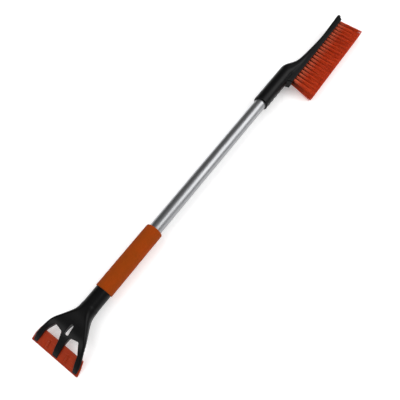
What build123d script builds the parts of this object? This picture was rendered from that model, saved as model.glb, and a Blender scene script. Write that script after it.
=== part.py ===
from build123d import *
from math import atan, cos, radians, sin, tan
import os

# Windscreen ice scraper and snow brush on one straight tube, in millimetres.
# The tube's axis is the X axis, +X runs from the scraper to the brush, and the origin
# is the middle of the bare stretch of tube. +Z is up when the tool lies on a table
# with its blade flat, and the bristles point to -Y and a little down.

# ---- Handle ----
TUBE_OD = 24.0
TUBE_WALL = 1.2
BARE_LENGTH = 339.0  # aluminium left visible between the grip and the brush socket
GRIP_OD = 32.8
GRIP_LENGTH = 133.0
GRIP_TOP_ROUND = 3.2
GRIP_BOTTOM_ROUND = 0.8
ROUND_FLAT = 0.2  # half of the flat left on each side of a round socket's section

# ---- Scraper head ----
HEAD_REACH = 125.0  # from the grip's lower end to the cutting edge
SOCKET_OD = 29.3
SCRAPER_INSERTION = 37.0  # how far the tube goes into the scraper's socket
BLADE_SLOPE = 30.0  # degrees between the blade and the tube
BLADE_HALF_WIDTH = 50.2
BLADE_BACK_HALF_WIDTH = 45.4
BLADE_WAIST_X = 13.0  # where its sides turn inwards, from the cutting edge
BLADE_WAIST = 1.4  # how much narrower the blade is there
BLADE_DEPTH = 23.8  # along X, from the cutting edge to the blade's back edge
BLADE_THICKNESS = 2.6
BLADE_EDGE_Z = -21.0  # upper side of the cutting edge
BLADE_REST_Z = -22.5  # flat land under the cutting edge
LAND_LENGTH = 1.4
BLADE_CORNER = 1.8
PRONG_TIP = 1.6  # where the three prongs end, from the cutting edge along X
CHIPPER_START = 4.4  # ice-breaking teeth, measured along the blade
CHIPPER_END = 20.4
CHIPPER_Y = 19.7
CHIPPER_WIDTH = 4.4
CHIPPER_RISE = 2.3

# Stations of the scraper frame: distance from the cutting edge, half width, top, bottom
# and corner radius. The first is the end of the round socket, and the last is the end of
# a flat, cranked fan.
FAN_STATIONS = (
    (94.0, SOCKET_OD / 2, SOCKET_OD / 2, -SOCKET_OD / 2, SOCKET_OD / 2 - ROUND_FLAT),
    (85.0, 15.1, 14.4, -14.3, 13.2),
    (76.0, 17.0, 13.3, -11.6, 9.7),
    (66.0, 22.7, 11.6, -7.0, 7.2),
    (56.0, 29.2, 10.2, -3.4, 5.4),
    (46.0, 35.4, 9.0, -1.2, 4.4),
    (38.0, 38.9, 6.6, -2.6, 4.0),
    (30.0, 41.7, 2.4, -6.4, 3.8),
    (21.0, 44.9, -3.4, -12.2, 3.6),
    (13.0, 46.6, -8.8, -17.6, 3.2),
    (6.0, 46.6, -14.7, -20.9, 2.2),
    (PRONG_TIP, 46.2, -19.0, -23.0, 1.2),
)
# Outlines in plan, as distances from the cutting edge and from the middle.
WINDOW = ((38.0, 8.9), (41.4, 24.5), (25.4, 34.0), (0.0, 38.8), (0.0, 5.0), (25.4, 6.0))
SLOT = ((38.0, 4.3), (55.3, 2.5), (55.3, -2.5), (38.0, -4.3))
WINDOW_ROUND = 2.5
SLOT_ROUND = 2.1

# ---- Snow brush ----
BRUSH_CLOCK = 12.0  # degrees that the bristles point below the blade's level
BRUSH_SOCKET_OD = 31.0
BRUSH_INSERTION = 62.0
FINGER_RIBS = 5
FIRST_GROOVE = 5.9  # from the socket's mouth
FINGER_PITCH = 12.75
FINGER_DEPTH = 1.8
FINGER_RADIUS = 8.0
BLOCK_HALF_WIDTH = 12.0
BLOCK_NEAR = 80.0  # ends of the face that holds the bristles, from the socket's mouth
BLOCK_FAR = 297.5
ROOT_NEAR = 23.0  # distance of that face from the tube's axis at its two ends
ROOT_FAR = 20.6
HEEL_START = 75.0
HEEL_DEPTH = 12.0
BLOCK_TOE = 302.0
BLOCK_EDGE_ROUND = 1.4
HEEL_ROUND = 3.0
# Stations of the spine: distance from the socket's mouth, back, front, half width and
# corner radius. Back and front are distances from the tube's axis towards the bristles,
# and the first station is the end of the round socket.
SPINE_STATIONS = (
    (98.0, -BRUSH_SOCKET_OD / 2, BRUSH_SOCKET_OD / 2, BRUSH_SOCKET_OD / 2, BRUSH_SOCKET_OD / 2 - ROUND_FLAT),
    (108.0, -12.9, 15.8, 14.9, 11.2),
    (122.0, -4.8, 16.4, 13.9, 8.5),
    (135.0, 1.3, 16.8, 13.0, 6.5),
    (147.0, 3.9, 17.0, 12.5, 5.5),
    (180.0, 7.1, 17.0, 12.0, 4.6),
    (234.0, 9.6, 17.0, 12.0, 3.6),
    (270.0, 8.2, 17.0, 12.0, 4.2),
    (293.0, 7.2, 16.4, 11.6, 4.4),
    (307.0, 7.0, 14.8, 10.0, 3.8),
)
TUFTS_PER_ROW = 21
TUFT_PITCH = 10.1
FIRST_TUFT = 91.0  # from the socket's mouth
ROW_OFFSET = 6.2
ROW_SPLAY = 2.0  # degrees that each outer row leans away from the middle row
FAN_NEAR = -3.0  # degrees that the first and the last tuft of a row lean along it
FAN_FAR = 6.0
HOLE_DIAMETER = 4.6
HOLE_DEPTH = 8.0
TUFT_ROOT_DIAMETER = 4.5
TUFT_TIP_DIAMETER = 7.8
TUFT_LENGTH = 54.5
STAPLE_WIDTH = 4.2
STAPLE_HEIGHT = 2.2
STAPLE_THICKNESS = 0.4

# ---- Screws ----
CROSS_SHANK = 3.9
CROSS_HOLE = 4.0
CROSS_LENGTH = 8.0
CROSS_HEAD = 7.4
CROSS_HEAD_HEIGHT = 2.4
CROSS_SPOTFACE = 8.2
CROSS_SEAT = 0.7  # depth of the flat under each head, below the round socket
SCRAPER_SCREW_REACH = 20.0  # from the open end of each socket to its screw
BRUSH_SCREW_REACH = 36.0
BLADE_SHANK = 2.7
BLADE_HOLE = 2.8
BLADE_SCREW_LENGTH = 5.8
BLADE_SCREW_HEAD = 5.2
BLADE_SCREW_S = 18.4  # from the cutting edge
SIDE_SCREW_Y = 38.8
SCREW_POINT = 0.8
RECESS_LENGTH = 3.0  # the cross recess in every screw head
RECESS_WIDTH = 0.7
RECESS_DEPTH = 0.9

# ---- Derived places ----
GRIP_TOP_X = -BARE_LENGTH / 2
GRIP_BOTTOM_X = GRIP_TOP_X - GRIP_LENGTH
EDGE_X = GRIP_BOTTOM_X - HEAD_REACH
MOUTH_X = BARE_LENGTH / 2
TUBE_START_X = GRIP_BOTTOM_X - SCRAPER_INSERTION
TUBE_END_X = MOUTH_X + BRUSH_INSERTION
SLOPE_SIN = sin(radians(BLADE_SLOPE))
SLOPE_COS = cos(radians(BLADE_SLOPE))
BLADE_BACK_X = EDGE_X + BLADE_DEPTH
UNDER_X = BLADE_THICKNESS * SLOPE_SIN  # step from the blade's upper face to its lower face
UNDER_Z = BLADE_THICKNESS * SLOPE_COS
CLOCK_SIN = sin(radians(BRUSH_CLOCK))
CLOCK_COS = cos(radians(BRUSH_CLOCK))
BRISTLE_DIR = Vector(0, -CLOCK_COS, -CLOCK_SIN)
UNDER_DIR = Vector(0, CLOCK_SIN, -CLOCK_COS)
CUT = 40.0  # reach of the cutting bodies past the part

blade_face = Plane(
    origin=(EDGE_X, 0, BLADE_EDGE_Z),
    x_dir=(SLOPE_COS, 0, SLOPE_SIN),
    z_dir=(-SLOPE_SIN, 0, SLOPE_COS),
)
brush_side = Plane(origin=(0, 0, 0), x_dir=(1, 0, 0), z_dir=UNDER_DIR)
bristle_axis = Axis((0, 0, 0), BRISTLE_DIR)
root_tilt = atan((ROOT_NEAR - ROOT_FAR) / (BLOCK_FAR - BLOCK_NEAR))
root_face = Plane(
    origin=Vector(MOUTH_X + BLOCK_NEAR, 0, 0) + BRISTLE_DIR * ROOT_NEAR,
    x_dir=Vector(cos(root_tilt), 0, 0) - BRISTLE_DIR * sin(root_tilt),
    z_dir=Vector(sin(root_tilt), 0, 0) + BRISTLE_DIR * cos(root_tilt),
)
scraper_screw_seat = Plane(
    origin=(GRIP_BOTTOM_X - SCRAPER_SCREW_REACH, 0, CROSS_SEAT - SOCKET_OD / 2),
    x_dir=(1, 0, 0),
    z_dir=(0, 0, -1),
)
brush_screw_seat = Plane(
    origin=Vector(MOUTH_X + BRUSH_SCREW_REACH, 0, 0) + UNDER_DIR * (BRUSH_SOCKET_OD / 2 - CROSS_SEAT),
    x_dir=(1, 0, 0),
    z_dir=UNDER_DIR,
)


def across(x):
    """The plane square to the tube at x, its own axes along +Y and +Z."""
    return Plane(origin=(x, 0, 0), x_dir=(0, 1, 0), z_dir=(1, 0, 0))


def across_brush(x):
    """The same plane, turned so that its first axis points along the bristles."""
    return Plane(origin=(x, 0, 0), x_dir=BRISTLE_DIR, z_dir=(1, 0, 0))


def blade_top(s):
    """Height of the blade's upper face at s from the cutting edge."""
    return BLADE_EDGE_Z + s * SLOPE_SIN / SLOPE_COS


def blade_screw_seat(y):
    """The plane on the blade's lower face at a screw, facing away from the prong."""
    on_lower_face = (EDGE_X + BLADE_SCREW_S + UNDER_X, y, blade_top(BLADE_SCREW_S) - UNDER_Z)
    return Plane(origin=on_lower_face, x_dir=(0, 1, 0), z_dir=(SLOPE_SIN, 0, -SLOPE_COS))


def revolved_screw(seat, outline, recess_top):
    """A screw revolved about the normal of its seat, from (radius, height) points."""
    with BuildPart() as screw:
        with BuildSketch(Plane(origin=seat.origin, x_dir=seat.x_dir, z_dir=-seat.y_dir)):
            with BuildLine():
                Polyline(outline, close=True)
            make_face()
        revolve(axis=Axis(seat.origin, seat.z_dir))
        with BuildSketch(seat.offset(recess_top)):
            Rectangle(RECESS_LENGTH, RECESS_WIDTH)
            Rectangle(RECESS_WIDTH, RECESS_LENGTH)
        extrude(amount=-RECESS_DEPTH, mode=Mode.SUBTRACT)
    return screw.part


def pan_head_screw(seat):
    """A self-tapping screw with its head above the seat and its shank below."""
    shank = CROSS_SHANK / 2
    head = CROSS_HEAD / 2
    outline = [
        (0, -CROSS_LENGTH),
        (shank - SCREW_POINT, -CROSS_LENGTH),
        (shank, SCREW_POINT - CROSS_LENGTH),
        (shank, 0),
        (head, 0),
        (head, CROSS_HEAD_HEIGHT * 0.45),
        (head * 0.86, CROSS_HEAD_HEIGHT * 0.8),
        (head * 0.6, CROSS_HEAD_HEIGHT),
        (0, CROSS_HEAD_HEIGHT),
    ]
    return revolved_screw(seat, outline, CROSS_HEAD_HEIGHT)


def countersunk_screw(seat):
    """A self-tapping screw whose flat head lies level with the seat."""
    shank = BLADE_SHANK / 2
    head = BLADE_SCREW_HEAD / 2
    outline = [
        (0, -BLADE_SCREW_LENGTH),
        (shank - SCREW_POINT, -BLADE_SCREW_LENGTH),
        (shank, SCREW_POINT - BLADE_SCREW_LENGTH),
        (shank, shank - head),
        (head, 0),
        (0, 0),
    ]
    return revolved_screw(seat, outline, 0)


def tuft_places(row):
    """Centres of one row's tufts on the bristle face. The three rows stand in line."""
    start = FIRST_TUFT - BLOCK_NEAR
    return [(start + TUFT_PITCH * i, row * ROW_OFFSET) for i in range(TUFTS_PER_ROW)]


def save(part, name):
    part.label = name
    export_step(part, f"parts/{name}.step")


os.makedirs("parts", exist_ok=True)

# ---- Handle tube: one length of aluminium, drilled in each socket for its cross screw ----
with BuildPart() as handle_tube:
    with BuildSketch(across(TUBE_START_X)):
        Circle(TUBE_OD / 2)
        Circle(TUBE_OD / 2 - TUBE_WALL, mode=Mode.SUBTRACT)
    extrude(amount=TUBE_END_X - TUBE_START_X)
    for seat in (scraper_screw_seat, brush_screw_seat):
        with BuildSketch(seat):
            Circle(CROSS_HOLE / 2)
        extrude(amount=-TUBE_OD / 2, mode=Mode.SUBTRACT)
save(handle_tube.part, "handle_tube")

# ---- Foam grip: a sleeve stretched over the tube, butted against the scraper's socket ----
with BuildPart() as foam_grip:
    with BuildSketch(across(GRIP_BOTTOM_X)):
        Circle(GRIP_OD / 2)
    extrude(amount=GRIP_LENGTH)
    fillet(foam_grip.faces().sort_by(Axis.X)[-1].edges(), GRIP_TOP_ROUND)
    fillet(foam_grip.faces().sort_by(Axis.X)[0].edges(), GRIP_BOTTOM_ROUND)
    with BuildSketch(across(GRIP_BOTTOM_X)):
        Circle(TUBE_OD / 2)
    extrude(amount=GRIP_LENGTH, mode=Mode.SUBTRACT)
save(foam_grip.part, "foam_grip")

# ---- Scraper frame: a round socket that flattens into a cranked fan with three prongs ----
with BuildPart() as scraper_frame:
    for s, half_width, top, bottom, corner in FAN_STATIONS:
        with BuildSketch(across(EDGE_X + s)):
            with Locations((0, (top + bottom) / 2)):
                RectangleRounded(2 * half_width, top - bottom, corner)
    loft()
    extrude(scraper_frame.faces().sort_by(Axis.X)[-1], amount=HEAD_REACH - FAN_STATIONS[0][0])
    # The open spaces between the prongs.
    for side in (1, -1):
        with BuildSketch(Plane.XY.offset(-CUT)):
            with BuildLine():
                Polyline([(EDGE_X + s, side * y) for s, y in WINDOW], close=True)
            make_face()
            fillet(vertices().sort_by(Axis.X)[-2:], WINDOW_ROUND)
        extrude(amount=2 * CUT, mode=Mode.SUBTRACT)
    # The tapered slot above the middle prong.
    with BuildSketch(Plane.XY.offset(-CUT)):
        with BuildLine():
            Polyline([(EDGE_X + s, y) for s, y in SLOT], close=True)
        make_face()
        fillet(vertices(), SLOT_ROUND)
    extrude(amount=2 * CUT, mode=Mode.SUBTRACT)
    # The seat of the blade: everything below its upper face, back to its back edge.
    with BuildSketch(Plane.XZ):
        with BuildLine():
            Polyline(
                (EDGE_X, blade_top(0)),
                (BLADE_BACK_X, blade_top(BLADE_DEPTH)),
                (BLADE_BACK_X + UNDER_X, blade_top(BLADE_DEPTH) - UNDER_Z),
                (BLADE_BACK_X + UNDER_X, -CUT),
                (EDGE_X, -CUT),
                close=True,
            )
        make_face()
    extrude(amount=1.5 * CUT, both=True, mode=Mode.SUBTRACT)
    # Pilot holes for the blade screws.
    for y in (-SIDE_SCREW_Y, 0, SIDE_SCREW_Y):
        with BuildSketch(blade_screw_seat(y)):
            Circle(BLADE_HOLE / 2)
        extrude(amount=-BLADE_SCREW_LENGTH, mode=Mode.SUBTRACT)
    # The bore for the tube, and the spotface and hole for the cross screw.
    with BuildSketch(across(GRIP_BOTTOM_X)):
        Circle(TUBE_OD / 2)
    extrude(amount=-SCRAPER_INSERTION, mode=Mode.SUBTRACT)
    with BuildSketch(scraper_screw_seat):
        Circle(CROSS_SPOTFACE / 2)
    extrude(amount=CROSS_HEAD_HEIGHT, mode=Mode.SUBTRACT)
    with BuildSketch(scraper_screw_seat):
        Circle(CROSS_HOLE / 2)
    extrude(amount=-TUBE_OD / 4, mode=Mode.SUBTRACT)
save(scraper_frame.part, "scraper_frame")

# ---- Scraper blade: a sloped plate screwed on under the three prongs ----
with BuildPart() as scraper_blade:
    with BuildSketch(Plane.XZ):
        with BuildLine():
            Polyline(
                (EDGE_X, blade_top(0)),
                (BLADE_BACK_X, blade_top(BLADE_DEPTH)),
                (BLADE_BACK_X + UNDER_X, blade_top(BLADE_DEPTH) - UNDER_Z),
                (EDGE_X + LAND_LENGTH, BLADE_REST_Z),
                (EDGE_X, BLADE_REST_Z),
                close=True,
            )
        make_face()
    extrude(amount=BLADE_HALF_WIDTH, both=True)
    with BuildSketch(Plane.XY.offset(-CUT)):
        with BuildLine():
            Polyline(
                (EDGE_X, BLADE_HALF_WIDTH),
                (EDGE_X + BLADE_WAIST_X, BLADE_HALF_WIDTH - BLADE_WAIST),
                (BLADE_BACK_X + UNDER_X, BLADE_BACK_HALF_WIDTH),
                (BLADE_BACK_X + UNDER_X, -BLADE_BACK_HALF_WIDTH),
                (EDGE_X + BLADE_WAIST_X, BLADE_WAIST - BLADE_HALF_WIDTH),
                (EDGE_X, -BLADE_HALF_WIDTH),
                close=True,
            )
        make_face()
        fillet(vertices().group_by(Axis.X)[0], BLADE_CORNER)
        fillet(vertices().group_by(Axis.X)[-1], BLADE_CORNER)
    extrude(amount=2 * CUT, mode=Mode.INTERSECT)
    # Two short teeth on the upper face that break thick ice.
    with BuildSketch(blade_face):
        with Locations(*[((CHIPPER_START + CHIPPER_END) / 2, side * CHIPPER_Y) for side in (1, -1)]):
            SlotOverall(CHIPPER_END - CHIPPER_START, CHIPPER_WIDTH)
    extrude(amount=CHIPPER_RISE, taper=25)
    # Countersunk holes for the blade screws.
    for y in (-SIDE_SCREW_Y, 0, SIDE_SCREW_Y):
        with BuildSketch(blade_screw_seat(y)):
            Circle(BLADE_HOLE / 2)
        extrude(amount=-BLADE_THICKNESS, mode=Mode.SUBTRACT)
        with BuildSketch(blade_screw_seat(y)):
            Circle(BLADE_SCREW_HEAD / 2)
        extrude(amount=-(BLADE_SCREW_HEAD - BLADE_HOLE) / 2, taper=45, mode=Mode.SUBTRACT)
save(scraper_blade.part, "scraper_blade")

# ---- Screws: three hold the blade, and one under each head stops it turning or pulling off ----
blade_screw_set = [countersunk_screw(blade_screw_seat(y)) for y in (-SIDE_SCREW_Y, 0, SIDE_SCREW_Y)]
with BuildPart() as blade_screws:
    add(blade_screw_set)
save(blade_screws.part, "blade_screws")
save(pan_head_screw(scraper_screw_seat), "scraper_socket_screw")
save(pan_head_screw(brush_screw_seat), "brush_socket_screw")

# ---- Brush head: a round socket with finger ribs that bends into a spine over a bristle block ----
# The block that holds the bristles runs from its slanted heel to its toe under the tip.
with BuildPart() as bristle_block:
    with BuildSketch(brush_side):
        with BuildLine():
            Polyline(
                (MOUTH_X + HEEL_START, HEEL_DEPTH),
                (MOUTH_X + BLOCK_NEAR, ROOT_NEAR),
                (MOUTH_X + BLOCK_FAR, ROOT_FAR),
                (MOUTH_X + BLOCK_TOE, HEEL_DEPTH),
                close=True,
            )
        make_face()
    extrude(amount=BLOCK_HALF_WIDTH, both=True)
    heel_edges = bristle_block.faces().sort_by(Axis.X)[0].edges()
    fillet([edge for edge in heel_edges if edge.length < 2 * BLOCK_HALF_WIDTH - 1], HEEL_ROUND)
    fillet(bristle_block.faces().sort_by(bristle_axis)[-1].edges(), BLOCK_EDGE_ROUND)

with BuildPart() as brush_head:
    for offset_x, back, front, half_width, corner in SPINE_STATIONS:
        with BuildSketch(across_brush(MOUTH_X + offset_x)):
            with Locations(((back + front) / 2, 0)):
                RectangleRounded(front - back, 2 * half_width, corner)
    loft()
    extrude(brush_head.faces().sort_by(Axis.X)[0], amount=SPINE_STATIONS[0][0])
    add(bristle_block.part)
    # Finger grooves on the bristle side of the socket.
    with BuildSketch(brush_side):
        for i in range(FINGER_RIBS):
            groove_x = MOUTH_X + FIRST_GROOVE + FINGER_PITCH * i
            with Locations((groove_x, BRUSH_SOCKET_OD / 2 + FINGER_RADIUS - FINGER_DEPTH)):
                Circle(FINGER_RADIUS)
    extrude(amount=BRUSH_SOCKET_OD / 2, both=True, mode=Mode.SUBTRACT)
    # Blind holes for the tufts.
    with BuildSketch(root_face):
        for row in (-1, 0, 1):
            with Locations(*tuft_places(row)):
                Circle(HOLE_DIAMETER / 2)
    extrude(amount=-HOLE_DEPTH, mode=Mode.SUBTRACT)
    # The bore for the tube, and the spotface and hole for the cross screw.
    with BuildSketch(across(MOUTH_X)):
        Circle(TUBE_OD / 2)
    extrude(amount=BRUSH_INSERTION, mode=Mode.SUBTRACT)
    with BuildSketch(brush_screw_seat):
        Circle(CROSS_SPOTFACE / 2)
    extrude(amount=CROSS_HEAD_HEIGHT, mode=Mode.SUBTRACT)
    with BuildSketch(brush_screw_seat):
        Circle(CROSS_HOLE / 2)
    extrude(amount=-TUBE_OD / 4, mode=Mode.SUBTRACT)
save(brush_head.part, "brush_head")


# ---- Bristles: three rows of tufts, each folded over a small steel staple in its hole ----
def tuft(place, row):
    """One tuft: straight in its hole, then leaning and widening out to its tip."""
    x, y = place
    along = (x - (FIRST_TUFT - BLOCK_NEAR)) / (TUFT_PITCH * (TUFTS_PER_ROW - 1))
    fan = FAN_NEAR * (1 - along) ** 3 + FAN_FAR * along**3
    with BuildPart() as bundle:
        with BuildSketch(root_face.offset(-HOLE_DEPTH)):
            with Locations((x, y)):
                Circle(TUFT_ROOT_DIAMETER / 2)
        extrude(amount=HOLE_DEPTH)
        with BuildSketch(root_face.offset(-HOLE_DEPTH)):
            with Locations((x, y)):
                Rectangle(STAPLE_THICKNESS, TUFT_ROOT_DIAMETER)
        extrude(amount=STAPLE_HEIGHT, mode=Mode.SUBTRACT)
        with BuildSketch(root_face):
            with Locations((x, y)):
                Circle(TUFT_ROOT_DIAMETER / 2)
        tip_x = x + TUFT_LENGTH * tan(radians(fan))
        tip_y = y + row * TUFT_LENGTH * tan(radians(ROW_SPLAY))
        with BuildSketch(root_face.offset(TUFT_LENGTH)):
            with Locations((tip_x, tip_y)):
                Circle(TUFT_TIP_DIAMETER / 2)
        loft()
    return bundle.part


for row, row_name in ((1, "upper"), (0, "middle"), (-1, "lower")):
    tufts = [tuft(place, row) for place in tuft_places(row)]
    with BuildPart() as bristle_row:
        add(tufts)
    save(bristle_row.part, f"bristle_row_{row_name}")
    with BuildPart() as staples:
        with BuildSketch(root_face.offset(-HOLE_DEPTH)):
            with Locations(*tuft_places(row)):
                Rectangle(STAPLE_THICKNESS, STAPLE_WIDTH)
        extrude(amount=STAPLE_HEIGHT)
    save(staples.part, f"tuft_staples_{row_name}")
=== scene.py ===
import math

import bmesh
import bpy
import numpy as np
from mathutils import Matrix, Quaternion, Vector, noise


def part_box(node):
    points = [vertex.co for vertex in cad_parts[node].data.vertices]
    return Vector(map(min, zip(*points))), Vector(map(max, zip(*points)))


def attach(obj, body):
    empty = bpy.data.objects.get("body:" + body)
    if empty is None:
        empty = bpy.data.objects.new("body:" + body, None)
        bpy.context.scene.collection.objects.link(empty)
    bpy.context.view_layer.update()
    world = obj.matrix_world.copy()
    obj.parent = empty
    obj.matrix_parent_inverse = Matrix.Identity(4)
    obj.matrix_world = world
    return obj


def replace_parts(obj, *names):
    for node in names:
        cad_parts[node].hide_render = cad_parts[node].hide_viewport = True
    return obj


# An ice scraper and snow brush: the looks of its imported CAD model, in metres. The tube
# runs along X with the brush at +X, +Z is up, and the bristles point to -Y.
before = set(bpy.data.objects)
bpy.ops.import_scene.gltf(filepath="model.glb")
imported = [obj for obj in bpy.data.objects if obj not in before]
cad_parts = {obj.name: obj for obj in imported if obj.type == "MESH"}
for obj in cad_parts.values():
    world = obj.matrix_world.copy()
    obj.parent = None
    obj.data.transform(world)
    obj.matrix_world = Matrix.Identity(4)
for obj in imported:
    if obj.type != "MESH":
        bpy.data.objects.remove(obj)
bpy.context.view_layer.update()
rng = np.random.default_rng(7)

MM = 0.001

# ---- Camera ----
CAMERA_AT = Vector((-0.3596, -0.2564, 0.7053))
CAMERA_AIM = Vector((-0.0771, -0.0295, 0.0))
CAMERA_ROLL = math.radians(-2.94)
CAMERA_LENS = 39.8  # on a 36 mm wide sensor

# ---- Light ----
SOFTBOX_DIRECTION = Vector((0.5, -0.5, 0.72))
SOFTBOX_DISTANCE = 4.0
SOFTBOX_SIZE = 3.2
SOFTBOX_RADIANCE = 2.8
FILL_DIRECTION = Vector((-0.25, 0.4, 0.88))
FILL_DISTANCE = 4.0
FILL_SIZE = 3.6
FILL_RADIANCE = 2.0  # bounced light, seen in no reflection
CARD_DIRECTION = Vector((-0.66, 0.33, 0.68))
CARD_DISTANCE = 4.0
CARD_SIZE = 2.0
CARD_RADIANCE = 2.6  # a white card past the scraper, seen in reflections alone
TABLE_GLOW = 0.3  # light that the white table gives off itself, so its shadows stay pale
ROOM_BRIGHT = 0.4  # radiance of the room around the table
ROOM_DARK = 0.17  # and of its darker side, towards +Y
ROOM_SEEN = 1.0  # the pale backdrop that a low view shows behind the table

# ---- Floor ----
FLOOR_SIZE = 14.0

# ---- Foam grip ----
FOAM_RINGS = 170
FOAM_SEGMENTS = 132
FOAM_TOP_ROUND = 3.2 * MM
FOAM_BOTTOM_ROUND = 0.9 * MM
FOAM_WAVE = 0.16 * MM  # slow unevenness of the sleeve
FOAM_PORE = 0.07 * MM  # open pores of its skin
FOAM_WAVE_SCALE = 70  # the unevenness, the pores and the finest pores, as noise scales
FOAM_PORE_SCALE = 900
FOAM_FINE_SCALE = 1700
FOAM_BOTTOM_STEPS = 8
FOAM_TOP_STEPS = 12
FOAM_END_STEPS = 5

# ---- Bristles ----
FILAMENTS_PER_TUFT = 84
FILAMENT_RADIUS = 0.25 * MM
FILAMENT_SIDES = 4
FILAMENT_RINGS = 8
FILAMENT_DEPTH = 5.0 * MM  # how far it reaches down its hole
TUFT_LENGTH = 54.5 * MM
BOW = 0.5 * MM  # how far a filament bows sideways on its way
TIP_SCATTER = 0.5 * MM
TIP_FULLNESS = 1.5  # tips spread past their own tuft's outline, along the row
TRIM_SCATTER = 0.5 * MM  # unevenness of the trimmed tips
PINCH = 0.68  # how long a tuft stays narrow on its way out
STRAY_SHARE = 0.04
STRAY_BOW = 2.4 * MM
CORNER_ROUND = 3.5 * MM  # the worn corner of the bristles nearest the handle
CORNER_CUT = 0.55  # the most that filaments there lose in length, as a share of it
TIP_TAPER = 0.55  # width of a filament's end, as a share of the rest
END_ZONE = 4.0 * MM  # how near an end of a CAD tuft its vertices count as that end
# Painted shade: the colour of sheltered filament roots is darkened, standing in for the light the rows
# keep from each other.
PAINTED_SHADE = 0.22  # painted shade: share of a filament root's colour that is darkened, in an outer row
PAINTED_SHADE_INNER = 0.6  # how much more that is at a tuft's inner side, and less at its outer one
PAINTED_SHADE_MIDDLE = 0.7  # how much more it is in the middle row
PAINTED_SHADE_MOST = 0.93

# ---- Moulded parts ----
SOFTEN_FACTOR = 0.5


def new_piece(name, mesh, material):
    """Links a mesh as a piece of the tool that rides on its one body."""
    piece = bpy.data.objects.new(name, mesh)
    bpy.context.scene.collection.objects.link(piece)
    mesh.materials.clear()
    mesh.materials.append(material)
    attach(piece, "root")
    return piece


def smooth_shaded(mesh):
    mesh.polygons.foreach_set("use_smooth", np.ones(len(mesh.polygons), bool))
    return mesh


# ---- Materials ----
class Shading:
    """A material under construction: a Principled shader and the nodes that drive it."""

    def __init__(self, name, **constants):
        self.material = bpy.data.materials.new(name)
        self.material.use_nodes = True
        self.tree = self.material.node_tree
        self.shader = self.tree.nodes["Principled BSDF"]
        for socket, value in constants.items():
            self.shader.inputs[socket.replace("_", " ")].default_value = value

    def node(self, kind, inputs=(), **settings):
        made = self.tree.nodes.new(kind)
        for key, value in settings.items():
            setattr(made, key, value)
        for key, value in dict(inputs).items():
            self.feed(made.inputs[key], value)
        return made

    def feed(self, socket, value):
        if isinstance(value, bpy.types.NodeSocket):
            self.tree.links.new(value, socket)
        else:
            socket.default_value = value

    def place(self, stretch=(1, 1, 1)):
        """Object coordinates, scaled on each axis."""
        where = self.node("ShaderNodeTexCoord").outputs["Object"]
        return self.node("ShaderNodeMapping", {"Vector": where, "Scale": stretch}).outputs["Vector"]

    def noise(self, scale, detail=3.0, roughness=0.55, stretch=(1, 1, 1)):
        inputs = {
            "Vector": self.place(stretch),
            "Scale": scale,
            "Detail": detail,
            "Roughness": roughness,
        }
        return self.node("ShaderNodeTexNoise", inputs).outputs["Fac"]

    def cells(self, scale):
        inputs = {"Vector": self.place(), "Scale": scale}
        return self.node("ShaderNodeTexVoronoi", inputs).outputs["Distance"]

    def spread(self, value, low, high, start=0.0, end=1.0):
        """Maps start..end of a value to low..high."""
        inputs = {"Value": value, "From Min": start, "From Max": end, "To Min": low, "To Max": high}
        return self.node("ShaderNodeMapRange", inputs).outputs["Result"]

    def blend(self, share, first, second):
        mix = self.node("ShaderNodeMix", data_type="RGBA")
        self.feed(mix.inputs[0], share)
        self.feed(mix.inputs[6], first)
        self.feed(mix.inputs[7], second)
        return mix.outputs[2]

    def attribute(self, name):
        return self.node("ShaderNodeAttribute", attribute_name=name).outputs["Fac"]

    def edges(self, start=0.52, end=0.6):
        """0 on flat stretches and 1 along outer edges, where handling polishes the part and a painted
        highlight lightens its colour.
        """
        point = self.node("ShaderNodeNewGeometry").outputs["Pointiness"]
        return self.spread(point, 0.0, 1.0, start, end)

    def bump(self, height, depth, strength=1.0, below=None):
        inputs = {"Height": height, "Distance": depth, "Strength": strength}
        made = self.node("ShaderNodeBump", inputs)
        if below is not None:
            self.feed(made.inputs["Normal"], below)
        return made.outputs["Normal"]

    def wear(self, **sockets):
        for socket, value in sockets.items():
            self.feed(self.shader.inputs[socket.replace("_", " ")], value)


def rgb(red, green, blue):
    return (red, green, blue, 1.0)


def aluminium():
    """Satin drawn tube: fine lines along it, a few handling marks, soft uneven gloss."""
    m = Shading("satin_aluminium", Metallic=1.0)
    drawn = m.noise(420.0, 4.0, 0.6, stretch=(0.02, 1, 1))
    cloud = m.noise(22.0, 3.0)
    marks = m.noise(900.0, 2.0, 0.5, stretch=(0.12, 1, 0.5))
    scuffs = m.spread(marks, 0.0, 1.0, 0.68, 0.74)
    drawn_share = m.spread(drawn, 0.0, 1.0, 0.3, 0.7)
    tone = m.blend(drawn_share, rgb(0.27, 0.275, 0.285), rgb(0.37, 0.375, 0.385))
    tone = m.blend(m.spread(cloud, 0.0, 0.25, 0.4, 0.7), tone, rgb(0.3, 0.3, 0.31))
    tone = m.blend(m.spread(scuffs, 0.0, 0.3), tone, rgb(0.5, 0.5, 0.51))
    rough = m.node("ShaderNodeMath", {0: m.spread(drawn, 0.3, 0.4), 1: m.spread(cloud, -0.03, 0.04)})
    normal = m.bump(drawn, 0.02 * MM, 0.5)
    m.wear(Base_Color=tone, Roughness=rough.outputs[0], Normal=normal)
    return m.material


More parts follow.
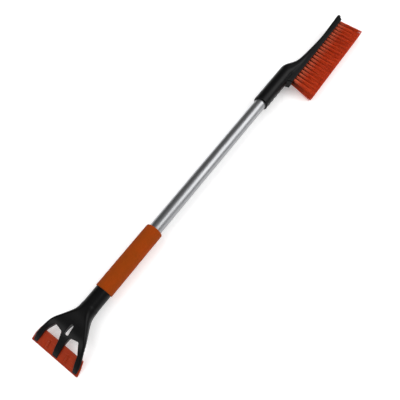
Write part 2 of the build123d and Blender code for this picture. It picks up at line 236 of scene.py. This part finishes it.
def foam():
    """Closed-cell foam: fine open pores with painted shade in them, dull skin, darker where hands have
    rubbed it.
    """
    m = Shading("orange_foam", Specular_IOR_Level=0.06, Sheen_Weight=0.02, Sheen_Roughness=0.6)
    pores = m.cells(1500.0)
    fine = m.noise(2600.0, 3.0, 0.7)
    cloud = m.noise(38.0, 4.0, 0.6)
    cloud_share = m.spread(cloud, 0.0, 1.0, 0.35, 0.65)
    tone = m.blend(cloud_share, rgb(0.33, 0.045, 0.0015), rgb(0.28, 0.046, 0.002))
    # Painted shade: a darker colour in the pores.
    tone = m.blend(m.spread(pores, 0.35, 0.0, 0.0, 0.35), tone, rgb(0.13, 0.02, 0.003))
    tone = m.blend(m.spread(fine, 0.0, 0.18, 0.5, 0.7), tone, rgb(0.42, 0.11, 0.02))
    normal = m.bump(pores, 0.12 * MM, 0.7)
    normal = m.bump(fine, 0.05 * MM, 0.5, normal)
    m.wear(Base_Color=tone, Roughness=m.spread(cloud, 0.78, 0.92), Normal=normal)
    return m.material


def black_plastic():
    """Moulded polypropylene: fine grained skin, polished on its edges, with a painted highlight that
    makes them a little paler.
    """
    m = Shading("black_plastic", Specular_IOR_Level=0.13)
    grain = m.noise(1700.0, 3.0, 0.65)
    flow = m.noise(45.0, 4.0, 0.55, stretch=(0.5, 1, 1))
    edge = m.edges()
    flow_share = m.spread(flow, 0.0, 1.0, 0.35, 0.65)
    tone = m.blend(flow_share, rgb(0.0016, 0.0016, 0.0018), rgb(0.003, 0.003, 0.0032))
    # Painted highlight: a paler colour along the edges.
    tone = m.blend(m.spread(edge, 0.0, 0.55), tone, rgb(0.014, 0.014, 0.015))
    rough = m.node("ShaderNodeMath", {0: m.spread(flow, 0.28, 0.38), 1: m.spread(edge, 0.0, -0.1)})
    normal = m.bump(grain, 0.035 * MM, 0.45)
    m.wear(Base_Color=tone, Roughness=rough.outputs[0], Normal=normal)
    return m.material


def blade_plastic():
    """Hard glossy blade plastic, faintly clouded and finely scratched."""
    m = Shading("blade_plastic", Specular_IOR_Level=0.14)
    cloud = m.noise(60.0, 4.0, 0.6)
    scratches = m.noise(1100.0, 2.0, 0.5, stretch=(1, 0.06, 1))
    lines = m.spread(scratches, 0.0, 1.0, 0.6, 0.68)
    edge = m.edges(0.51, 0.58)
    cloud_share = m.spread(cloud, 0.0, 1.0, 0.35, 0.65)
    tone = m.blend(cloud_share, rgb(0.385, 0.033, 0.005), rgb(0.322, 0.027, 0.004))
    # Painted highlight: a paler colour along the edges.
    tone = m.blend(m.spread(edge, 0.0, 0.4), tone, rgb(0.5, 0.12, 0.05))
    tone = m.blend(m.spread(lines, 0.0, 0.2), tone, rgb(0.52, 0.16, 0.08))
    rough = m.node("ShaderNodeMath", {0: m.spread(cloud, 0.26, 0.36), 1: m.spread(lines, 0.0, 0.18)})
    normal = m.bump(scratches, 0.02 * MM, 0.3)
    m.wear(Base_Color=tone, Roughness=rough.outputs[0], Normal=normal)
    return m.material


def bristle_plastic():
    """Drawn filaments: each its own shade, with a painted highlight where the tuft is pinched at its
    root, and painted shade on sheltered roots.
    """
    m = Shading("bristle_plastic", Specular_IOR_Level=0.2)
    shade = m.attribute("shade")
    along = m.attribute("along")
    streak = m.noise(300.0, 2.0)
    tone = m.blend(shade, rgb(0.58, 0.041, 0.005), rgb(0.77, 0.072, 0.009))
    # Painted highlight: a paler colour near the root.
    tone = m.blend(m.spread(along, 0.4, 0.0, 0.08, 0.34), tone, rgb(0.86, 0.27, 0.15))
    tone = m.blend(m.spread(streak, 0.0, 0.25, 0.4, 0.7), tone, rgb(0.46, 0.03, 0.004))
    # Painted shade: the colour darkens on sheltered filament roots.
    tone = m.blend(m.attribute("painted_light"), rgb(0.035, 0.003, 0.001), tone)
    m.wear(Base_Color=tone, Roughness=m.spread(shade, 0.34, 0.5))
    return m.material


def steel(name, dark, pale, roughness):
    """Plated steel with faint turning marks and dull spots."""
    m = Shading(name, Metallic=1.0)
    spots = m.noise(700.0, 4.0, 0.6)
    turning = m.noise(1500.0, 2.0, 0.5, stretch=(1, 1, 0.1))
    tone = m.blend(m.spread(spots, 0.0, 1.0, 0.35, 0.65), dark, pale)
    rough = m.spread(spots, roughness, roughness + 0.15)
    m.wear(Base_Color=tone, Roughness=rough, Normal=m.bump(turning, 0.02 * MM, 0.4))
    return m.material


def floor_paint():
    """Matt white table with the slightest mottling."""
    m = Shading("white_table", Specular_IOR_Level=0.1, Roughness=0.9, Emission_Strength=TABLE_GLOW)
    mottle = m.noise(14.0, 2.0)
    tone = m.blend(m.spread(mottle, 0.0, 1.0), rgb(0.93, 0.93, 0.93), rgb(0.95, 0.95, 0.95))
    m.wear(Base_Color=tone)
    return m.material


# ---- Foam grip ----
def foam_profile(start, end, inner, outer):
    """(x, radius) points of the sleeve's outer side, with both its ends rounded."""
    points = []
    for i in range(FOAM_BOTTOM_STEPS + 1):
        turn = math.pi / 2 * i / FOAM_BOTTOM_STEPS
        x = start + FOAM_BOTTOM_ROUND * (1 - math.sin(turn))
        points.append((x, outer - FOAM_BOTTOM_ROUND * (1 - math.cos(turn))))
    points.reverse()
    first = start + FOAM_BOTTOM_ROUND
    last = end - FOAM_TOP_ROUND
    points += [(first + (last - first) * i / FOAM_RINGS, outer) for i in range(1, FOAM_RINGS)]
    for i in range(FOAM_TOP_STEPS + 1):
        turn = math.pi / 2 * i / FOAM_TOP_STEPS
        x = last + FOAM_TOP_ROUND * math.sin(turn)
        points.append((x, outer - FOAM_TOP_ROUND * (1 - math.cos(turn))))
    bottom = points[0][1]
    top = points[-1][1]
    steps = FOAM_END_STEPS
    points = [(start, inner + (bottom - inner) * i / steps) for i in range(steps)] + points
    return points + [(end, top + (inner - top) * i / steps) for i in range(1, steps + 1)]


def foam_mesh():
    low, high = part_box("foam_grip")
    tube_low, tube_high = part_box("handle_tube")
    outer = (high.z - low.z) / 2
    inner = (tube_high.z - tube_low.z) / 2
    profile = foam_profile(low.x, high.x, inner, outer)
    vertices = []
    for x, radius in profile:
        depth = min(max((radius - inner) / (outer - inner), 0.0), 1.0)
        for i in range(FOAM_SEGMENTS):
            turn = 2 * math.pi * i / FOAM_SEGMENTS
            ray = Vector((0, math.cos(turn), math.sin(turn)))
            at = Vector((x, 0, 0)) + ray * radius
            slow = noise.noise(at * FOAM_WAVE_SCALE)
            pore = noise.noise(at * FOAM_PORE_SCALE) + 0.6 * noise.noise(at * FOAM_FINE_SCALE)
            vertices.append(at + ray * depth * (FOAM_WAVE * (slow - 0.5) + FOAM_PORE * (pore - 0.6)))
    rows = len(profile)
    faces = []
    for r in range(rows):
        after = (r + 1) % rows
        for i in range(FOAM_SEGMENTS):
            j = (i + 1) % FOAM_SEGMENTS
            a, b = r * FOAM_SEGMENTS, after * FOAM_SEGMENTS
            faces.append((a + i, b + i, b + j, a + j))
    mesh = bpy.data.meshes.new("foam_sleeve")
    mesh.from_pydata(vertices, [], faces)
    outward(mesh)
    return smooth_shaded(mesh)


def outward(mesh):
    """Turns every face of a closed mesh to face out."""
    work = bmesh.new()
    work.from_mesh(mesh)
    bmesh.ops.recalc_face_normals(work, faces=work.faces)
    work.to_mesh(mesh)
    work.free()


# ---- Bristles ----
def loose_parts(mesh):
    """The vertices of each separate solid of a mesh, as arrays of points."""
    work = bmesh.new()
    work.from_mesh(mesh)
    bmesh.ops.remove_doubles(work, verts=work.verts, dist=0.001 * MM)
    left = set(work.verts)
    parts = []
    while left:
        found = [left.pop()]
        for vertex in found:
            for edge in vertex.link_edges:
                other = edge.other_vert(vertex)
                if other in left:
                    left.remove(other)
                    found.append(other)
        parts.append(np.array([v.co for v in found]))
    work.free()
    return parts


def tufts_of(node):
    """(root centre, root radius, tip centre, tip radius) of every tuft, from handle to tip."""
    tufts = []
    for points in loose_parts(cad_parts[node].data):
        spread = points - points.mean(0)
        direction = np.linalg.svd(spread, full_matrices=False)[2][0]
        direction = direction if direction[1] < 0 else -direction
        level = points @ direction
        tip = points[level > level.max() - END_ZONE]
        root = points[abs(level - level.max() + TUFT_LENGTH) < END_ZONE]
        ends = []
        for ring in (root, tip):
            centre = (ring.max(0) + ring.min(0)) / 2
            ends += [centre, np.linalg.norm(ring - centre, axis=1).max()]
        tufts.append(tuple(ends))
    return sorted(tufts, key=lambda tuft: tuft[0][0])


def filament_lines(tuft, near_end, row):
    """Centre lines of a tuft's filaments, as (filament, ring, xyz), its axes and the painted shade at
    each filament's root.
    """
    root, root_radius, tip, tip_radius = tuft
    axis = tip - root
    length = np.linalg.norm(axis)
    axis = axis / length
    side = np.cross(axis, [1.0, 0.0, 0.0])
    side /= np.linalg.norm(side)
    other = np.cross(axis, side)
    index = np.arange(FILAMENTS_PER_TUFT)
    reach = np.sqrt((index + 0.5) / FILAMENTS_PER_TUFT)
    turn = index * math.pi * (3 - math.sqrt(5)) + rng.uniform(0, 0.5, len(index))
    across = reach[:, None] * (np.cos(turn)[:, None] * side + np.sin(turn)[:, None] * other)
    start = root + across * (root_radius - FILAMENT_RADIUS)
    scatter = rng.normal(0, TIP_SCATTER, (len(index), 2))
    end = tip + across * (tip_radius - FILAMENT_RADIUS)
    end[:, 0] = tip[0] + (end[:, 0] - tip[0]) * TIP_FULLNESS
    end = end + scatter[:, :1] * side + scatter[:, 1:] * other
    # The tips are trimmed level, and worn short at the corner nearest the handle.
    worn = np.clip((near_end + CORNER_ROUND - end[:, 0]) / CORNER_ROUND, 0, 1)
    trim = rng.uniform(-TRIM_SCATTER, 0, len(index)) - CORNER_ROUND * CORNER_CUT * worn**2
    end = end + trim[:, None] * axis
    bow = rng.normal(0, BOW, (len(index), 2))
    stray = rng.random(len(index)) < STRAY_SHARE
    bow[stray] *= STRAY_BOW / BOW
    sideways = bow[:, :1] * side + bow[:, 1:] * other
    along = np.linspace(0, 1, FILAMENT_RINGS - 1)[None, :, None]
    # A tuft stays pinched near its root and opens out on the way.
    opening = along * (1 - PINCH + PINCH * along)
    centre = root + (tip - root) * along
    off_axis = (start - root)[:, None] * (1 - opening) + (end - tip)[:, None] * opening
    lines = centre + off_axis + sideways[:, None] * np.sin(along * math.pi * 0.75) * along
    inside = start - axis * FILAMENT_DEPTH
    # Painted shade: filaments on the inner side of an outer row, and all of the middle row, get their
    # roots darkened in colour.
    outward = row * reach * np.cos(turn)
    painted_shade = PAINTED_SHADE - PAINTED_SHADE_INNER * outward + PAINTED_SHADE_MIDDLE * (row == 0)
    painted_shade = np.clip(painted_shade, 0.0, PAINTED_SHADE_MOST)
    return np.concatenate([inside[:, None], lines], 1), side, other, painted_shade


def bristle_mesh(name, node, near_end, row):
    """Every filament of one row: a slim tapering tube with a blunt, rounded tip."""
    turns = np.arange(FILAMENT_SIDES) * 2 * math.pi / FILAMENT_SIDES
    rings = np.arange(FILAMENT_RINGS)
    width = np.where(rings == FILAMENT_RINGS - 1, TIP_TAPER, 1.0) * FILAMENT_RADIUS
    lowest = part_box(node)[0].z + FILAMENT_RADIUS
    blocks = []
    painted_shades = []
    for tuft in tufts_of(node):
        lines, side, other, painted_shade = filament_lines(tuft, near_end, row)
        painted_shades.append(painted_shade)
        lines[:, :, 2] = np.maximum(lines[:, :, 2], lowest)  # no stray goes through the table
        ring = np.cos(turns)[:, None] * side + np.sin(turns)[:, None] * other
        blocks.append(lines[:, :, None] + width[None, :, None, None] * ring[None, None])
    points = np.concatenate(blocks)
    count = len(points)
    vertices = points.reshape(-1, 3)
    first = np.arange(count) * FILAMENT_RINGS * FILAMENT_SIDES
    faces = []
    for r in range(FILAMENT_RINGS - 1):
        for i in range(FILAMENT_SIDES):
            j = (i + 1) % FILAMENT_SIDES
            low, high = r * FILAMENT_SIDES, (r + 1) * FILAMENT_SIDES
            faces.append(first[:, None] + [low + i, low + j, high + j, high + i])
    ends = np.arange(FILAMENT_SIDES)
    faces.append(first[:, None] + ends[::-1])
    faces.append(first[:, None] + ends + (FILAMENT_RINGS - 1) * FILAMENT_SIDES)
    mesh = bpy.data.meshes.new(name)
    mesh.from_pydata(vertices, [], np.concatenate(faces).tolist())
    outward(mesh)
    shade = np.repeat(rng.random(count), FILAMENT_RINGS * FILAMENT_SIDES)
    along = np.clip((rings - 1) / (FILAMENT_RINGS - 2), 0, 1)
    along = np.tile(np.repeat(along, FILAMENT_SIDES), count)
    painted_shade = np.repeat(np.concatenate(painted_shades), FILAMENT_RINGS * FILAMENT_SIDES)
    # Painted shade: the colour darkens towards the root by each filament's share.
    painted_light = 1 - painted_shade * (1 - along) ** 2
    for key, values in (("shade", shade), ("along", along), ("painted_light", painted_light)):
        mesh.attributes.new(key, "FLOAT", "POINT").data.foreach_set("value", values.astype(np.float32))
    return smooth_shaded(mesh)


# ---- Moulded parts ----
def moulded_mesh(name, node, voxel, passes):
    """A node's shape as a mould leaves it: the same form with every edge a little rounded."""
    work = bmesh.new()
    work.from_mesh(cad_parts[node].data)
    bmesh.ops.remove_doubles(work, verts=work.verts, dist=0.001 * MM)
    closed = bpy.data.meshes.new(name)
    work.to_mesh(closed)
    work.free()
    draft = bpy.data.objects.new(name, closed)
    bpy.context.scene.collection.objects.link(draft)
    remesh = draft.modifiers.new("remesh", "REMESH")
    remesh.mode = "VOXEL"
    remesh.voxel_size = voxel
    soften = draft.modifiers.new("soften", "SMOOTH")
    soften.factor = SOFTEN_FACTOR
    soften.iterations = passes
    depsgraph = bpy.context.evaluated_depsgraph_get()
    mesh = bpy.data.meshes.new_from_object(draft.evaluated_get(depsgraph))
    bpy.data.objects.remove(draft)
    bpy.data.meshes.remove(closed)
    mesh.name = name
    return smooth_shaded(mesh)


# ---- The tool ----
black = black_plastic()
orange_blade = blade_plastic()
bristle = bristle_plastic()
screw_steel = steel("screw_steel", rgb(0.42, 0.41, 0.4), rgb(0.6, 0.59, 0.57), 0.3)
staple_steel = steel("staple_steel", rgb(0.46, 0.44, 0.4), rgb(0.62, 0.6, 0.55), 0.35)

for piece_name, node_name, piece_material, slot_name, voxel_size, smooth_passes in (
    ("scraper_head", "scraper_frame", black, "black_plastic", 0.6 * MM, 5),
    ("brush_body", "brush_head", black, "black_plastic", 0.65 * MM, 4),
    ("ice_blade", "scraper_blade", orange_blade, "blade_plastic", 0.4 * MM, 2),
):
    shape = moulded_mesh(piece_name, node_name, voxel_size, smooth_passes)
    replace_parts(new_piece(piece_name, shape, piece_material), node_name)

sleeve = new_piece("foam_sleeve", foam_mesh(), foam())
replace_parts(sleeve, "foam_grip")

near_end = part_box("bristle_row_upper")[0].x
for row_number, row_name in ((1, "upper"), (0, "middle"), (-1, "lower")):
    row_node = f"bristle_row_{row_name}"
    row_mesh = bristle_mesh(f"filaments_{row_name}", row_node, near_end, row_number)
    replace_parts(new_piece(f"filaments_{row_name}", row_mesh, bristle), row_node)

for node_name, node_material in (
    ("handle_tube", aluminium()),
    ("blade_screws", screw_steel),
    ("scraper_socket_screw", screw_steel),
    ("brush_socket_screw", screw_steel),
    ("tuft_staples_upper", staple_steel),
    ("tuft_staples_middle", staple_steel),
    ("tuft_staples_lower", staple_steel),
):
    for material_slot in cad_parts[node_name].material_slots:
        material_slot.material = node_material


# ---- Table, light and camera ----
def make_floor():
    """The table's top, through the blade's cutting edge and the lowest bristle tips."""
    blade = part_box("scraper_blade")[0]
    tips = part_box("bristle_row_lower")[0]
    slope = math.atan2(tips.z - blade.z, tips.x - blade.x)
    half = FLOOR_SIZE / 2
    mesh = bpy.data.meshes.new("table")
    corners = [(-half, -half, 0), (half, -half, 0), (half, half, 0), (-half, half, 0)]
    mesh.from_pydata(corners, [], [(0, 1, 2, 3)])
    mesh.materials.append(floor_paint())
    table = bpy.data.objects.new("table", mesh)
    bpy.context.scene.collection.objects.link(table)
    centre = Matrix.Translation((0, 0, blade.z - blade.x * math.tan(slope)))
    table.matrix_world = centre @ Matrix.Rotation(-slope, 4, "Y")


def make_light(name, direction, distance, size, radiance):
    """A square soft light that faces the middle of the tool."""
    light = bpy.data.lights.new(name, "AREA")
    light.size = size
    light.energy = radiance * math.pi * size**2
    lamp = bpy.data.objects.new(name, light)
    bpy.context.scene.collection.objects.link(lamp)
    lamp.location = direction.normalized() * distance
    lamp.rotation_euler = (-direction).to_track_quat("-Z", "Y").to_euler()
    return lamp


def make_room():
    """A dim room that is darker towards +Y, and a pale backdrop where a view shows it."""
    world = bpy.data.worlds.new("room")
    bpy.context.scene.world = world
    world.use_nodes = True
    tree = world.node_tree
    sky = tree.nodes["Background"]
    sky.inputs["Color"].default_value = rgb(1.0, 1.0, 1.0)
    direction = tree.nodes.new("ShaderNodeTexCoord")
    parts = tree.nodes.new("ShaderNodeSeparateXYZ")
    shade = tree.nodes.new("ShaderNodeMapRange")
    shade.interpolation_type = "SMOOTHSTEP"
    shade.inputs["From Min"].default_value = -0.1
    shade.inputs["From Max"].default_value = 0.75
    shade.inputs["To Min"].default_value = ROOM_BRIGHT
    shade.inputs["To Max"].default_value = ROOM_DARK
    rays = tree.nodes.new("ShaderNodeLightPath")
    seen = tree.nodes.new("ShaderNodeMix")
    seen.inputs["B"].default_value = ROOM_SEEN
    tree.links.new(direction.outputs["Generated"], parts.inputs[0])
    tree.links.new(parts.outputs["Y"], shade.inputs["Value"])
    tree.links.new(rays.outputs["Is Camera Ray"], seen.inputs["Factor"])
    tree.links.new(shade.outputs["Result"], seen.inputs["A"])
    tree.links.new(seen.outputs["Result"], sky.inputs["Strength"])


def make_camera():
    data = bpy.data.cameras.new("camera")
    data.sensor_width = 36.0
    data.lens = CAMERA_LENS
    camera = bpy.data.objects.new("camera", data)
    bpy.context.scene.collection.objects.link(camera)
    camera.rotation_mode = "QUATERNION"
    camera.location = CAMERA_AT
    aim = (CAMERA_AIM - CAMERA_AT).to_track_quat("-Z", "Y")
    camera.rotation_quaternion = aim @ Quaternion((0, 0, 1), CAMERA_ROLL)
    bpy.context.scene.camera = camera


make_floor()
make_light("softbox", SOFTBOX_DIRECTION, SOFTBOX_DISTANCE, SOFTBOX_SIZE, SOFTBOX_RADIANCE)
fill = make_light("fill", FILL_DIRECTION, FILL_DISTANCE, FILL_SIZE, FILL_RADIANCE)
fill.visible_glossy = False
card = make_light("card", CARD_DIRECTION, CARD_DISTANCE, CARD_SIZE, CARD_RADIANCE)
card.visible_diffuse = False
make_room()
make_camera()
bpy.context.scene.view_settings.view_transform = "Standard"
